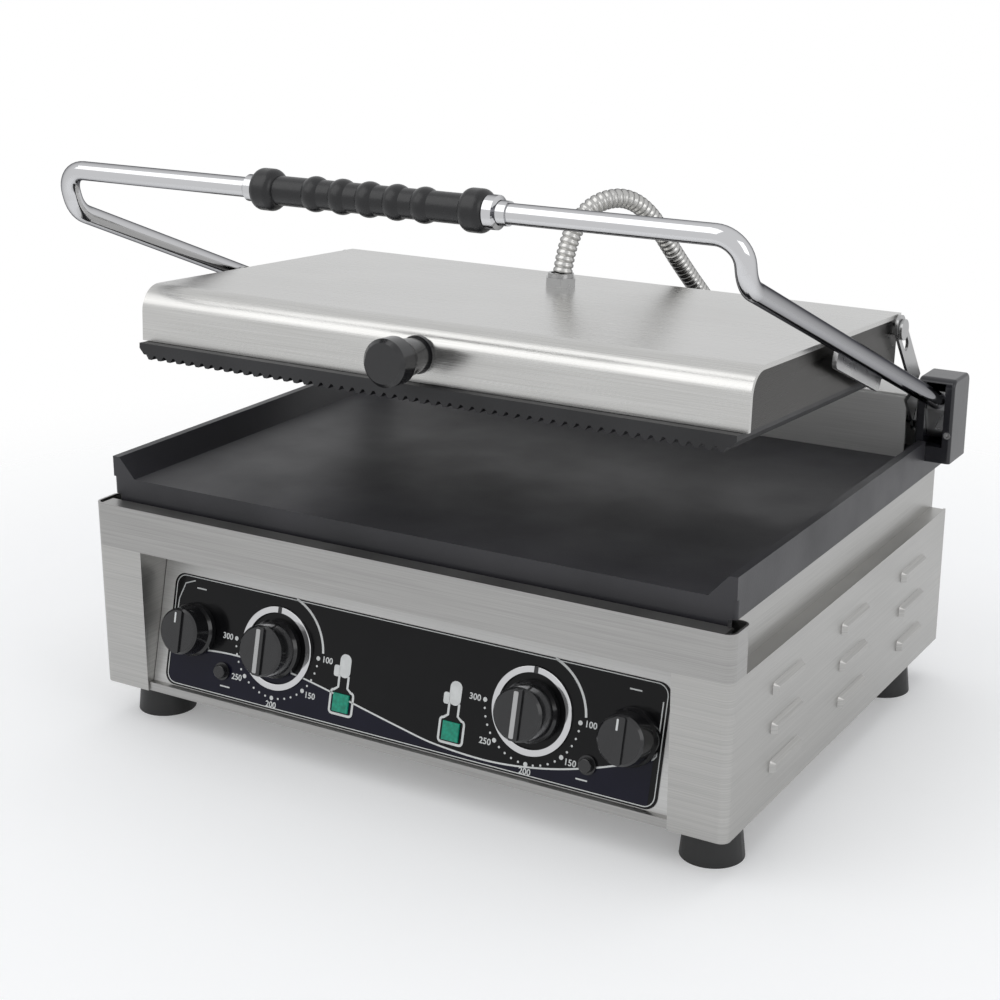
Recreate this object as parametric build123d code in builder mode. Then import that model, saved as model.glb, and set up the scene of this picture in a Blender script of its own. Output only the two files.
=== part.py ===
from build123d import *
import os
from math import atan2, cos, radians, sin, tan

# Contact grill. Millimetres, X to the right, Y to the back, Z up, floor at Z = 0.

# Housing
body_width = 470
body_depth = 368
body_front = -184
foot_height = 27
housing_height = 100
band_height = 30
sheet = 1.5
ledge = 10
corner_radius = 6
post_width = 38
post_return = 31
band_wrap = 25
tray_rise = 33
tray_gap = 1
seam_flange = 10

# Louvres pressed into the sides
louvre_length = 45
louvre_height = 11
louvre_depth = 3.2
louvre_wall = 1
louvre_columns = 3
louvre_rows = 3
louvre_column_pitch = 110
louvre_row_pitch = 25.3
louvre_taper = 38

# Control panel, which leans back
panel_lean = 14
panel_bottom_setback = 6
lip_height = 6
film_thickness = 0.4
film_height = 77
film_margin = 10
thermostat_x = 97
thermostat_up = 42
switch_x = 166
switch_up = 41.5
lamp_x = 42
lamp_up = 17
reset_x = 139
reset_up = 18
dial_ring_outer = 56
dial_ring_inner = 47
thermostat_knob_diameter = 39
switch_knob_diameter = 36
knob_height = 19.5
knob_gap = 0.4
hub_diameter = 8
hub_fit = 0.05
button_diameter = 9
button_proud = 3.5
button_travel = 2.5
button_fit = 0.1
lamp_size = 12
fit = 0.3

# Griddle, heater and insulation
griddle_half = 229.5
griddle_setback = 15
griddle_thickness = 12
rim_height = 14
rim_flat = 5.5
rim_slope = 12.5
skirt_drop = 14
element_diameter = 8
element_pitch = 50
element_half = 195
clamp_thickness = 2

# Rear bridge: splash guard, hinge blocks and shaft
guard_setback = 329
guard_height = 47
guard_depth = 34
guard_half = 214
block_inner = 221
block_width = 26
block_height = 59
cheek = 6.2
slot_back_wall = 4
shaft_setback = 346
shaft_height = 198
shaft_diameter = 10
shaft_fit = 0.05

# Handle bar: its arms rise to the front, then turn up to the grip
bar_diameter = 12
bar_half = 234
arm_rise = 22.6
arm_offset = 10.9
arm_start = 17.5
arm_length = 360.7
lower_bend_radius = 20
riser_rise = 27.7
riser_lean = 7.9
upper_bend_radius = 16
grip_left = -80
grip_right = 81
grip_flange = 25
grip_valley = 17.5
grip_bulge = 21
bulge_pitch = 19
bulge_count = 5

# Lid: a ribbed plate under a bent steel cover, a little front-up at rest
lid_tilt = 3.4
lid_setback = 33.5
lid_front_height = 251.3
plate_half = 217
plate_depth = 250
plate_height = 10.5
rib_height = 3
rib_pitch = 8
rib_count = 53
cover_half = 220.5
cover_setback = 7.5
cover_top = 47.5
cover_sheet = 1.2
cover_bend = 17
cover_return = 3
side_outer = 218.5
pivot_setback = 196
pivot_height = 271
pivot_diameter = 8
pin_fit = 0.1
front_knob_diameter = 30
front_knob_length = 40

# Links between the shaft and the lid
link_pin_setback = 281
link_pin_height = 274
link_pin_diameter = 4.5
link_width = 16
link_slot = 8
link_thickness = 2
link_trim = 0.26
link_reach = 102
link_least = 82.9

# Conduit between the housing and the lid
conduit_diameter = 13.5
conduit_bore = 10
conduit_ribs = 84
conduit_rib_depth = 1
conduit_x = 60
conduit_back = 16

half = body_width / 2
body_back = body_front + body_depth
base_z = foot_height
seam_z = base_z + housing_height
band_top = seam_z + band_height
tray_half = half - ledge
tray_top = seam_z + tray_rise
post_inner = half - post_width
griddle_front = body_front + griddle_setback
griddle_z = tray_top + griddle_thickness
guard_y = body_front + guard_setback
shaft_y = body_front + shaft_setback
lean = radians(panel_lean)
tilt = radians(lid_tilt)
rise = radians(arm_rise)


def slab(x, y, z, mode=Mode.ADD):
    """A box between two ends on each axis."""
    with Locations(((x[0] + x[1]) / 2, (y[0] + y[1]) / 2, (z[0] + z[1]) / 2)):
        Box(x[1] - x[0], y[1] - y[0], z[1] - z[0], mode=mode)


# Housing: base, bent sides with their front posts, rear panel and front band
with BuildPart() as base_plate:
    with BuildSketch(Plane.XY.offset(base_z)):
        with Locations((0, (body_front + body_back) / 2)):
            Rectangle(body_width - 2 * sheet, body_depth - 2 * sheet)
    extrude(amount=sheet)
    fillet(edges().filter_by(Axis.Z).group_by(Axis.Y)[0], corner_radius - sheet)
    lip_front = body_front + sheet
    slab((-post_inner + fit, post_inner - fit), (lip_front, lip_front + sheet), (base_z, base_z + lip_height))
    slab(
        (-post_inner + fit, post_inner - fit),
        (lip_front, body_front + panel_bottom_setback),
        (base_z + lip_height - sheet, base_z + lip_height),
    )
    with BuildSketch(Plane.XY.offset(base_z)):
        with GridLocations(130, 20, 2, 7):
            SlotOverall(70, 6)
    extrude(amount=sheet, mode=Mode.SUBTRACT)

with BuildPart() as side_panel_right:
    with BuildSketch(Plane.XY.offset(base_z)):
        with BuildLine():
            FilletPolyline(
                (post_inner, body_front), (half, body_front), (half, body_back), radius=corner_radius
            )
            offset(amount=sheet, side=Side.LEFT)
        make_face()
    extrude(amount=housing_height)
    slab((post_inner, post_inner + sheet), (body_front, body_front + post_return), (base_z + sheet, seam_z))
    slab(
        (tray_half - seam_flange, half - sheet),
        (body_front + corner_radius, body_back - sheet),
        (seam_z - sheet, seam_z),
    )
    louvre_z = base_z + housing_height / 2 - 1
    louvre_plane = Plane.YZ.offset(half)
    louvre_places = [
        (body_front + body_depth / 2 + 8.5 + i * louvre_column_pitch, louvre_z + j * louvre_row_pitch)
        for i in (-1, 0, 1)
        for j in (-1, 0, 1)
    ]
    with BuildSketch(louvre_plane):
        with Locations(*louvre_places):
            RectangleRounded(louvre_length, louvre_height, 3)
    extrude(amount=louvre_depth, taper=louvre_taper)
    with BuildSketch(louvre_plane.offset(-sheet)):
        with Locations(*louvre_places):
            RectangleRounded(louvre_length - 3 * louvre_wall, louvre_height - 3 * louvre_wall, 2)
    extrude(amount=sheet + louvre_depth - louvre_wall, taper=louvre_taper / 2, mode=Mode.SUBTRACT)
    for y, z in louvre_places:
        slab(
            (half, half + louvre_depth + 1),
            (y - louvre_length / 2, y + louvre_length / 2),
            (z - louvre_height / 2 - 1, z - louvre_height / 2 + 3),
            mode=Mode.SUBTRACT,
        )

with BuildPart() as side_panel_left:
    mirror(side_panel_right.part, about=Plane.YZ)

with BuildPart() as rear_panel:
    with BuildSketch(Plane.XZ.offset(-body_back)):
        with Locations((0, (base_z + sheet + seam_z - sheet) / 2)):
            Rectangle(body_width - 2 * sheet, housing_height - 2 * sheet)
        with Locations((0, (seam_z - sheet + tray_top) / 2)):
            Rectangle(2 * tray_half, tray_rise + sheet)
        gland_z = seam_z - 17
        mains_x = -150
        mains_z = base_z + 43
        with Locations((conduit_x, gland_z), (mains_x, mains_z)):
            Circle(8, mode=Mode.SUBTRACT)
        with Locations((-40, base_z + housing_height / 2)):
            with GridLocations(12, 0, 9, 1):
                SlotOverall(44, 5, rotation=90, mode=Mode.SUBTRACT)
    extrude(amount=sheet)

with BuildPart() as front_band:
    with BuildSketch(Plane.XY.offset(seam_z)):
        with BuildLine():
            FilletPolyline(
                (-tray_half - tray_gap, body_front + band_wrap),
                (-half, body_front + band_wrap),
                (-half, body_front),
                (half, body_front),
                (half, body_front + band_wrap),
                (tray_half + tray_gap, body_front + band_wrap),
                radius=corner_radius,
            )
            offset(amount=sheet, side=Side.LEFT)
        make_face()
    extrude(amount=band_height)
    band_inside = half - corner_radius
    slab(
        (-band_inside, band_inside),
        (body_front + sheet, griddle_front - 3),
        (band_top - sheet, band_top),
    )
    slab(
        (-band_inside, band_inside),
        (body_front + sheet, body_front + band_wrap - sheet),
        (seam_z, seam_z + sheet),
    )

with BuildPart() as tray_frame:
    tray_front = body_front + band_wrap + tray_gap
    tray_back = body_back - sheet
    tray_middle = (0, (tray_front + tray_back) / 2)
    with BuildSketch(Plane.XY.offset(seam_z)):
        with Locations(tray_middle):
            Rectangle(2 * tray_half, tray_back - tray_front)
            Rectangle(
                2 * (tray_half - seam_flange), tray_back - tray_front - 2 * seam_flange, mode=Mode.SUBTRACT
            )
    extrude(amount=sheet)
    with BuildSketch(Plane.XY.offset(seam_z)):
        with Locations(tray_middle):
            Rectangle(2 * tray_half, tray_back - tray_front)
            Rectangle(2 * (tray_half - sheet), tray_back - tray_front - 2 * sheet, mode=Mode.SUBTRACT)
    extrude(amount=tray_rise)

# Cooking surface, its heating element, clamps and insulation
with BuildPart() as griddle_plate:
    slab((-griddle_half, griddle_half), (griddle_front, body_back), (tray_top, griddle_z))
    fillet(edges().filter_by(Axis.Z).group_by(Axis.Y)[0], 3)
    slab(
        (-tray_half + tray_gap, tray_half - tray_gap),
        (griddle_front, griddle_front + sheet * 4),
        (tray_top - skirt_drop, tray_top),
    )
    for side in (1, -1):
        with BuildSketch(Plane.XZ.offset(-griddle_front)):
            with BuildLine():
                Polyline(
                    (side * griddle_half, griddle_z),
                    (side * griddle_half, griddle_z + rim_height),
                    (side * (griddle_half - rim_flat), griddle_z + rim_height),
                    (side * (griddle_half - rim_flat - rim_slope), griddle_z),
                    close=True,
                )
            make_face()
        extrude(amount=griddle_front - guard_y)

element_z = tray_top - fit - element_diameter / 2
element_rows = 6
element_first = (body_front + body_back) / 2 - element_pitch * (element_rows - 1) / 2
element_points = []
for row in range(element_rows):
    ends = (-element_half, element_half) if row % 2 == 0 else (element_half, -element_half)
    for x in ends:
        element_points.append((x, element_first + row * element_pitch))

with BuildPart() as lower_element:
    with BuildLine(Plane.XY.offset(element_z)) as lower_element_path:
        FilletPolyline(*element_points, radius=element_pitch / 2 - 1)
    with BuildSketch(Plane(lower_element_path.line @ 0, z_dir=lower_element_path.line % 0)):
        Circle(element_diameter / 2)
    sweep()

with BuildPart() as lower_element_clamps:
    clamp_top = element_z - element_diameter / 2 - fit
    clamp_back = element_first + element_pitch * (element_rows - 1) + 12
    for x in (-100, 100):
        slab((x - 12, x + 12), (element_first - 12, clamp_back), (clamp_top - clamp_thickness, clamp_top))
        with Locations(
            (x, element_first + element_pitch * 0.5, clamp_top),
            (x, element_first + element_pitch * 3.5, clamp_top),
        ):
            Cylinder(3, tray_top - clamp_top, align=(Align.CENTER, Align.CENTER, Align.MIN))

with BuildPart() as lower_insulation:
    slab(
        (-tray_half + sheet + fit, tray_half - sheet - fit),
        (tray_front + sheet + fit, tray_back - sheet - fit),
        (seam_z + sheet, seam_z + sheet + 12),
    )

# Rear bridge
with BuildPart() as splash_guard:
    with BuildSketch(Plane.YZ.offset(-guard_half)):
        with BuildLine():
            FilletPolyline(
                (guard_y, griddle_z),
                (guard_y, griddle_z + guard_height),
                (guard_y + guard_depth, griddle_z + guard_height),
                (guard_y + guard_depth, griddle_z),
                radius=4,
            )
            offset(amount=sheet, side=Side.RIGHT)
        make_face()
    extrude(amount=2 * guard_half)

screw_top = (block_inner + cheek / 2, griddle_z + block_height - 7)
screw_side = (block_inner + block_width - cheek / 2, griddle_z + 20)
screw_head = 5
screw_depth = 9

with BuildPart() as hinge_block_right:
    with BuildSketch(Plane.YZ.offset(block_inner)):
        with Locations((guard_y + guard_depth / 2, griddle_z + block_height / 2)):
            Rectangle(guard_depth, block_height)
    extrude(amount=block_width)
    fillet(edges().filter_by(Axis.X).group_by(Axis.Z)[-1], 6)
    fillet(edges().filter_by(Axis.Z), 2)
    slab(
        (block_inner + cheek, block_inner + block_width - cheek),
        (guard_y, guard_y + guard_depth - slot_back_wall),
        (griddle_z + 11, griddle_z + block_height - 3),
        mode=Mode.SUBTRACT,
    )
    with BuildSketch(Plane.YZ.offset(block_inner)):
        with Locations((shaft_y, shaft_height)):
            Circle(shaft_diameter / 2 + shaft_fit)
    extrude(amount=block_width - 1.5, mode=Mode.SUBTRACT)
    with BuildSketch(Plane.XZ.offset(-guard_y)):
        with Locations(screw_top, screw_side):
            Circle(screw_head / 2)
    extrude(amount=-screw_depth, mode=Mode.SUBTRACT)

with BuildPart() as hinge_block_left:
    mirror(hinge_block_right.part, about=Plane.YZ)

with BuildPart() as hinge_block_screws:
    with BuildSketch(Plane.XZ.offset(-guard_y - 0.4)):
        for side in (1, -1):
            with Locations((side * screw_top[0], screw_top[1]), (side * screw_side[0], screw_side[1])):
                Circle(screw_head / 2)
    extrude(amount=-screw_depth + 0.4)
    with BuildSketch(Plane.XZ.offset(-guard_y - 0.4)):
        for side in (1, -1):
            with Locations((side * screw_top[0], screw_top[1]), (side * screw_side[0], screw_side[1])):
                RegularPolygon(1.4, 6)
    extrude(amount=-2, mode=Mode.SUBTRACT)

spring_length = 84
spring_start = 122
spring_outer = 20

with BuildPart() as balance_spring_right:
    with BuildSketch(Plane.YZ.offset(spring_start)):
        with Locations((shaft_y, shaft_height)):
            Circle(spring_outer / 2)
            Circle(shaft_diameter / 2 + fit, mode=Mode.SUBTRACT)
    extrude(amount=spring_length)

with BuildPart() as balance_spring_left:
    mirror(balance_spring_right.part, about=Plane.YZ)

# Control panel
panel_origin = (0, body_front + panel_bottom_setback, base_z + lip_height)
panel = Plane(origin=panel_origin, x_dir=(1, 0, 0), z_dir=(0, -cos(lean), sin(lean)))
panel_length = (seam_z - 1 - base_z - lip_height) / cos(lean)
panel_half = post_inner - fit
controls = [(s * x, up) for s in (-1, 1) for x, up in ((thermostat_x, thermostat_up), (switch_x, switch_up))]
bush = hub_diameter / 2 + 2
neck = button_diameter / 2 + 1.5

with BuildPart() as control_fascia:
    with BuildSketch(panel):
        with Locations((0, panel_length / 2)):
            Rectangle(2 * panel_half, panel_length)
    extrude(amount=-sheet)
    with BuildSketch(panel.offset(-sheet)):
        with Locations((0, sheet / 2), (0, panel_length - sheet / 2)):
            Rectangle(2 * panel_half, sheet)
    extrude(amount=-8)
    with BuildSketch(panel):
        with Locations(*controls):
            Circle(bush)
        with Locations((-lamp_x, lamp_up), (lamp_x, lamp_up)):
            Rectangle(lamp_size, lamp_size)
        with Locations((-reset_x, reset_up), (reset_x, reset_up)):
            Circle(neck)
    extrude(amount=-sheet, mode=Mode.SUBTRACT)

with BuildPart() as fascia_film:
    with BuildSketch(panel):
        with Locations((0, 0.5 + film_height / 2)):
            RectangleRounded(2 * (post_inner - film_margin), film_height, 8)
        with Locations(*controls):
            Circle(bush, mode=Mode.SUBTRACT)
        with Locations((-lamp_x, lamp_up), (lamp_x, lamp_up)):
            Rectangle(lamp_size, lamp_size, mode=Mode.SUBTRACT)
        with Locations((-reset_x, reset_up), (reset_x, reset_up)):
            Circle(neck, mode=Mode.SUBTRACT)
    extrude(amount=film_thickness)

with BuildPart() as dial_ring_right:
    with BuildSketch(panel.offset(film_thickness)):
        with Locations((thermostat_x, thermostat_up)):
            Circle(dial_ring_outer / 2)
            Circle(dial_ring_inner / 2, mode=Mode.SUBTRACT)
    extrude(amount=1.6)
    fillet(edges().sort_by(Axis((0, 0, 0), panel.z_dir))[-2:], 0.6)

with BuildPart() as dial_ring_left:
    mirror(dial_ring_right.part, about=Plane.YZ)

with BuildPart() as thermostat_body_right:
    with BuildSketch(panel.offset(-sheet)):
        with Locations((thermostat_x, thermostat_up)):
            RectangleRounded(34, 40, 3)
    extrude(amount=-26)
    with BuildSketch(panel.offset(-sheet)):
        with Locations((thermostat_x, thermostat_up)):
            Circle(bush)
    extrude(amount=sheet + film_thickness)
    with BuildSketch(panel.offset(film_thickness)):
        with Locations((thermostat_x, thermostat_up)):
            Circle(hub_diameter / 2 + hub_fit)
    extrude(amount=-14, mode=Mode.SUBTRACT)

with BuildPart() as thermostat_body_left:
    mirror(thermostat_body_right.part, about=Plane.YZ)

with BuildPart() as switch_body_right:
    with BuildSketch(panel.offset(-sheet)):
        with Locations((switch_x, switch_up)):
            RectangleRounded(30, 30, 2)
    extrude(amount=-32)
    with BuildSketch(panel.offset(-sheet)):
        with Locations((switch_x, switch_up)):
            Circle(bush)
    extrude(amount=sheet + film_thickness)
    with BuildSketch(panel.offset(film_thickness)):
        with Locations((switch_x, switch_up)):
            Circle(hub_diameter / 2 + hub_fit)
    extrude(amount=-14, mode=Mode.SUBTRACT)

with BuildPart() as switch_body_left:
    mirror(switch_body_right.part, about=Plane.YZ)

with BuildPart() as indicator_lamp_right:
    with BuildSketch(panel.offset(-sheet)):
        with Locations((lamp_x, lamp_up)):
            Rectangle(lamp_size, lamp_size)
    extrude(amount=sheet + film_thickness + 1.2)
    with BuildSketch(panel.offset(-sheet)):
        with Locations((lamp_x, lamp_up)):
            Rectangle(lamp_size + 4, lamp_size + 4)
    extrude(amount=-18)

with BuildPart() as indicator_lamp_left:
    mirror(indicator_lamp_right.part, about=Plane.YZ)

with BuildPart() as cutout_body_right:
    with BuildSketch(panel.offset(-sheet)):
        with Locations((reset_x, reset_up)):
            Circle(10)
    extrude(amount=-24)
    with BuildSketch(panel.offset(-sheet)):
        with Locations((reset_x, reset_up)):
            Circle(neck)
    extrude(amount=sheet + film_thickness + 1.6)
    with BuildSketch(panel.offset(film_thickness + 1.6)):
        with Locations((reset_x, reset_up)):
            Circle(button_diameter / 2 + button_fit)
    extrude(amount=-14, mode=Mode.SUBTRACT)

with BuildPart() as cutout_body_left:
    mirror(cutout_body_right.part, about=Plane.YZ)


def turned(x, up):
    """The plane of a knob's half profile, its Y along the knob's axis."""
    foot = panel.from_local_coords(Vector(x, up, 0))
    return Plane(origin=foot, x_dir=(1, 0, 0), z_dir=(0, -sin(lean), -cos(lean)))


knob_base = film_thickness + knob_gap

with BuildPart() as thermostat_knob_right:
    knob_plane = turned(thermostat_x, thermostat_up)
    knob_radius = thermostat_knob_diameter / 2
    with BuildSketch(knob_plane):
        with BuildLine():
            Polyline(
                (0, -11),
                (hub_diameter / 2, -11),
                (hub_diameter / 2, knob_base),
                (knob_radius, knob_base),
                (knob_radius, knob_base + 4),
                (knob_radius - 1.5, knob_base + 6),
                (knob_radius - 2.5, knob_base + knob_height - 1.5),
                (knob_radius - 4, knob_base + knob_height),
                (0, knob_base + knob_height),
                close=True,
            )
        make_face()
    revolve(axis=Axis(knob_plane.origin, knob_plane.y_dir))
    with BuildSketch(panel.offset(knob_base + knob_height)):
        with Locations((thermostat_x, thermostat_up)):
            RectangleRounded(6, thermostat_knob_diameter - 7, 1)
    extrude(amount=1.5)

with BuildPart() as thermostat_knob_left:
    mirror(thermostat_knob_right.part, about=Plane.YZ)

with BuildPart() as switch_knob_right:
    knob_plane = turned(switch_x, switch_up)
    knob_radius = switch_knob_diameter / 2
    with BuildSketch(knob_plane):
        with BuildLine():
            Polyline(
                (0, -11),
                (hub_diameter / 2, -11),
                (hub_diameter / 2, knob_base),
                (knob_radius, knob_base),
                (knob_radius, knob_base + 4),
                (knob_radius - 1.5, knob_base + 6),
                (knob_radius - 2.5, knob_base + knob_height - 2.5),
                (knob_radius - 4, knob_base + knob_height - 1),
                (0, knob_base + knob_height - 1),
                close=True,
            )
        make_face()
    revolve(axis=Axis(knob_plane.origin, knob_plane.y_dir))
    with BuildSketch(panel.offset(knob_base + knob_height - 1)):
        with Locations((switch_x, switch_up)):
            RectangleRounded(6, switch_knob_diameter - 7, 1)
    extrude(amount=1.5)

with BuildPart() as switch_knob_left:
    mirror(switch_knob_right.part, about=Plane.YZ)

with BuildPart() as reset_button_right:
    with BuildSketch(panel.offset(film_thickness + 1.6 + button_proud)):
        with Locations((reset_x, reset_up)):
            Circle(button_diameter / 2)
    extrude(amount=-button_proud - 14 + button_travel + 0.5)
    fillet(edges().sort_by(Axis((0, 0, 0), panel.z_dir))[-1], 1)

with BuildPart() as reset_button_left:
    mirror(reset_button_right.part, about=Plane.YZ)

# Glands at the back and feet below
with BuildPart() as mains_gland:
    with BuildSketch(Plane.XZ.offset(-body_back)):
        with Locations((mains_x, mains_z)):
            RegularPolygon(12, 6)
    extrude(amount=-4)
    with BuildSketch(Plane.XZ.offset(-body_back)):
        with Locations((mains_x, mains_z)):
            Circle(9)
    extrude(amount=-14)
    with BuildSketch(Plane.XZ.offset(-body_back)):
        with Locations((mains_x, mains_z)):
            Circle(8)
    extrude(amount=sheet)
    with BuildSketch(Plane.XZ.offset(-body_back + sheet)):
        with Locations((mains_x, mains_z)):
            RegularPolygon(12, 6)
    extrude(amount=5)
    with BuildSketch(Plane.XZ.offset(-body_back - 14)):
        with Locations((mains_x, mains_z)):
            Circle(5)
    extrude(amount=30, mode=Mode.SUBTRACT)

conduit_y = body_back + conduit_back
gland_top = gland_z + 26
conduit_end = gland_top - 16
conduit_fit = 0.2

with BuildPart() as conduit_gland:
    with BuildSketch(Plane.XZ.offset(-body_back)):
        with Locations((conduit_x, gland_z)):
            RegularPolygon(13, 6)
    extrude(amount=-4)
    with BuildSketch(Plane.XZ.offset(-body_back + sheet)):
        with Locations((conduit_x, gland_z)):
            Circle(8)
    extrude(amount=-sheet - conduit_back)
    with Locations((conduit_x, conduit_y, gland_z - 10)):
        Cylinder(10, 36, align=(Align.CENTER, Align.CENTER, Align.MIN))
    with BuildSketch(Plane.XY.offset(gland_top - 10)):
        with Locations((conduit_x, conduit_y)):
            RegularPolygon(11.5, 6)
    extrude(amount=7)
    with Locations((conduit_x, conduit_y, conduit_end)):
        Cylinder(
            conduit_diameter / 2 + conduit_fit,
            20,
            align=(Align.CENTER, Align.CENTER, Align.MIN),
            mode=Mode.SUBTRACT,
        )

with BuildPart() as feet:
    with Locations(
        *[(s * 211, body_front + y, 0) for s in (-1, 1) for y in (35, 323)]
    ):
        Cone(20, 17, foot_height, align=(Align.CENTER, Align.CENTER, Align.MIN))
        Cylinder(6, 16, align=(Align.CENTER, Align.CENTER, Align.MIN), mode=Mode.SUBTRACT)

# Handle bar, its knuckles on the shaft and its grip
arm_end = (
    shaft_y + arm_offset * sin(rise) - arm_start * cos(rise),
    shaft_height + arm_offset * cos(rise) + arm_start * sin(rise),
)
lower_bend = (arm_end[0] - arm_length * cos(rise), arm_end[1] + arm_length * sin(rise))
bar_top = (lower_bend[0] - riser_lean, lower_bend[1] + riser_rise)

with BuildPart() as handle_bar:
    with BuildLine() as bar_path:
        FilletPolyline(
            (-bar_half, *arm_end),
            (-bar_half, *lower_bend),
            (-bar_half, *bar_top),
            (bar_half, *bar_top),
            (bar_half, *lower_bend),
            (bar_half, *arm_end),
            radius=[lower_bend_radius, upper_bend_radius, upper_bend_radius, lower_bend_radius],
        )
    with BuildSketch(Plane(bar_path.line @ 0, z_dir=bar_path.line % 0)):
        Circle(bar_diameter / 2)
    sweep()

knuckle_inner = block_inner + cheek + fit
knuckle_width = block_width - 2 * cheek - 2 * fit

with BuildPart() as arm_knuckle_right:
    along = (cos(rise), -sin(rise))
    across = (sin(rise), cos(rise))
    with BuildSketch(Plane.YZ.offset(knuckle_inner)):
        with Locations((shaft_y, shaft_height)):
            Circle(12)
        with BuildLine():
            face = [(arm_end[0] + s * 6.5 * across[0], arm_end[1] + s * 6.5 * across[1]) for s in (-1, 1)]
            Polyline(face[0], face[1], (face[1][0] + along[0], face[1][1] + along[1]), close=True)
        make_hull()
    extrude(amount=knuckle_width)
    with BuildSketch(Plane.YZ.offset(knuckle_inner)):
        with Locations((shaft_y, shaft_height)):
            Circle(shaft_diameter / 2 + 0.02)
    extrude(amount=knuckle_width, mode=Mode.SUBTRACT)

with BuildPart() as arm_knuckle_left:
    mirror(arm_knuckle_right.part, about=Plane.YZ)

shaft_half = block_inner + block_width - 2

with BuildPart() as hinge_shaft:
    with BuildSketch(Plane.YZ.offset(-shaft_half)):
        with Locations((shaft_y, shaft_height)):
            Circle(shaft_diameter / 2)
    extrude(amount=2 * shaft_half)

link_inner = guard_half + 0.8
nut_inner = link_inner + link_thickness + fit
nut_width = block_inner - nut_inner - fit

with BuildPart() as shaft_nuts:
    for start in (nut_inner, -nut_inner - nut_width):
        with BuildSketch(Plane.YZ.offset(start)):
            with Locations((shaft_y, shaft_height)):
                RegularPolygon(9.2, 6)
                Circle(shaft_diameter / 2 + 0.02, mode=Mode.SUBTRACT)
        extrude(amount=nut_width)

grip_plane = Plane(origin=(0, *bar_top), x_dir=(1, 0, 0), z_dir=(0, -1, 0))
grip_axis = Axis((0, *bar_top), (1, 0, 0))
grip_bore = bar_diameter / 2 + shaft_fit

with BuildPart() as handle_grip:
    with BuildSketch(grip_plane) as grip_profile:
        with Locations(((grip_left + grip_right) / 2, 0)):
            Rectangle(grip_right - grip_left, grip_valley)
            with GridLocations(bulge_pitch, 0, bulge_count, 1):
                Ellipse(bulge_pitch / 2, grip_bulge / 2)
        with Locations((grip_left + 8, 0), (grip_right - 8, 0)):
            RectangleRounded(16, grip_flange, 5)
        with Locations(((grip_left + grip_right) / 2, grip_bore - 20)):
            Rectangle(400, 40, mode=Mode.SUBTRACT)
    revolve(axis=grip_axis)

with BuildPart() as grip_ferrules:
    with BuildSketch(grip_plane):
        with BuildLine():
            Polyline(
                (grip_left - 7, grip_bore), (grip_left - 7, 7), (grip_left - 6, 8),
                (grip_left, 8), (grip_left, grip_bore), close=True,
            )
        make_face()
        with BuildLine():
            Polyline(
                (grip_right, grip_bore), (grip_right, 9.75), (grip_right + 6, 9.75),
                (grip_right + 7, 7.2), (grip_right + 13, 7), (grip_right + 13, grip_bore), close=True,
            )
        make_face()
    revolve(axis=grip_axis)

pivot_y = body_front + pivot_setback
hanger_thickness = 3
hanger_half = 43
hanger_drop = 13
arm_plane = Plane(
    origin=(bar_half - bar_diameter / 2, *arm_end), x_dir=(0, -cos(rise), sin(rise)), z_dir=(-1, 0, 0)
)
pivot_local = arm_plane.to_local_coords(Vector(bar_half, pivot_y, pivot_height))

with BuildPart() as lid_hanger_right:
    with BuildSketch(arm_plane):
        with Locations((pivot_local.X, (4 - hanger_drop) / 2)):
            RectangleRounded(2 * hanger_half, 4 + hanger_drop, 4)
    extrude(amount=hanger_thickness)

with BuildPart() as lid_hanger_left:
    mirror(lid_hanger_right.part, about=Plane.YZ)

hanger_inner = bar_half - bar_diameter / 2 - hanger_thickness
side_inner = side_outer - sheet

with BuildPart() as lid_pivot_pins:
    for side in (1, -1):
        for start, end, radius in (
            (side_inner - 4, hanger_inner, pivot_diameter / 2),
            (side_outer + fit, hanger_inner, pivot_diameter / 2 + 2.5),
            (side_inner - fit - 1.5, side_inner - fit, pivot_diameter / 2 + 2.5),
        ):
            with BuildSketch(Plane.YZ.offset(side * start)):
                with Locations((pivot_y, pivot_height)):
                    Circle(radius)
            extrude(amount=side * (end - start))

# Lid, drawn on its own planes: U runs back along the ribbed plate and W stands square to it
lid_origin = (body_front + lid_setback, lid_front_height)
lid_back = (0, cos(tilt), -sin(tilt))
lid_up = (0, sin(tilt), cos(tilt))
lid_end = plate_depth + 1
link_pin_y = body_front + link_pin_setback


def lid_section(x):
    """A plane of constant X with U and W as its axes."""
    return Plane(origin=(x, *lid_origin), x_dir=lid_back, z_dir=(1, 0, 0))


lid_face = Plane(origin=(0, *lid_origin), x_dir=(1, 0, 0), z_dir=(0, -cos(tilt), sin(tilt)))
lid_level = Plane(origin=(0, *lid_origin), x_dir=(1, 0, 0), z_dir=lid_up)
conduit_hole_x = -8
conduit_hole_u = 199
collar_height = 9

with BuildPart() as upper_plate:
    with BuildSketch(lid_face):
        with BuildLine():
            Polyline(
                (-plate_half, plate_height),
                (plate_half, plate_height),
                (plate_half, 7),
                (plate_half - 3.7, rib_height),
                (-plate_half + 3.7, rib_height),
                (-plate_half, 7),
                close=True,
            )
        make_face()
        with GridLocations(rib_pitch, 0, rib_count, 1):
            Polygon(
                (-rib_pitch / 2 + 0.6, rib_height + 0.2),
                (rib_pitch / 2 - 0.6, rib_height + 0.2),
                (1.3, 0),
                (-1.3, 0),
                align=None,
            )
    extrude(amount=-plate_depth)

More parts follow.
